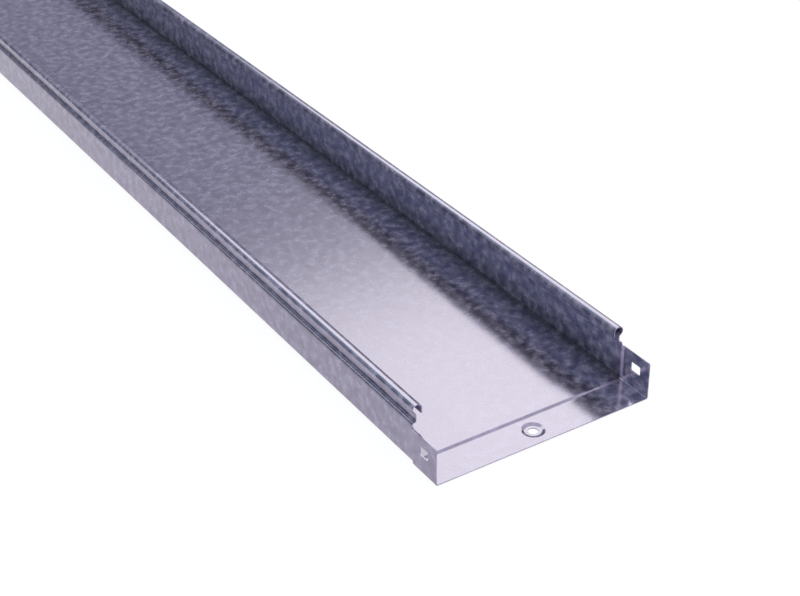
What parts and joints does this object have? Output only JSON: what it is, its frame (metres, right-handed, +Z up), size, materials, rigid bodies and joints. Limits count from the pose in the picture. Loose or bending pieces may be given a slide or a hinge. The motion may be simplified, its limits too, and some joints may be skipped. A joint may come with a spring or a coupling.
{
  "type": "solid cable tray",
  "caption": "Straight length of unperforated steel cable tray with rolled top edges and a widened end that takes the plain end of the next length.",
  "frame": {"origin": "middle of the tray's length and width, level with its lowest point, the underside of the dimple in the socket", "axes": "+X along the tray towards the socket end, +Y across the tray, +Z up out of the open side"},
  "size_m": [2, 0.202, 0.053],
  "materials": {
    "galvanised_steel": "hot-dip galvanised sheet, fairly glossy, with a fine spangle"
  },
  "bodies": {
    "root": {"tray": "galvanised_steel"}
  },
  "joints": []
}
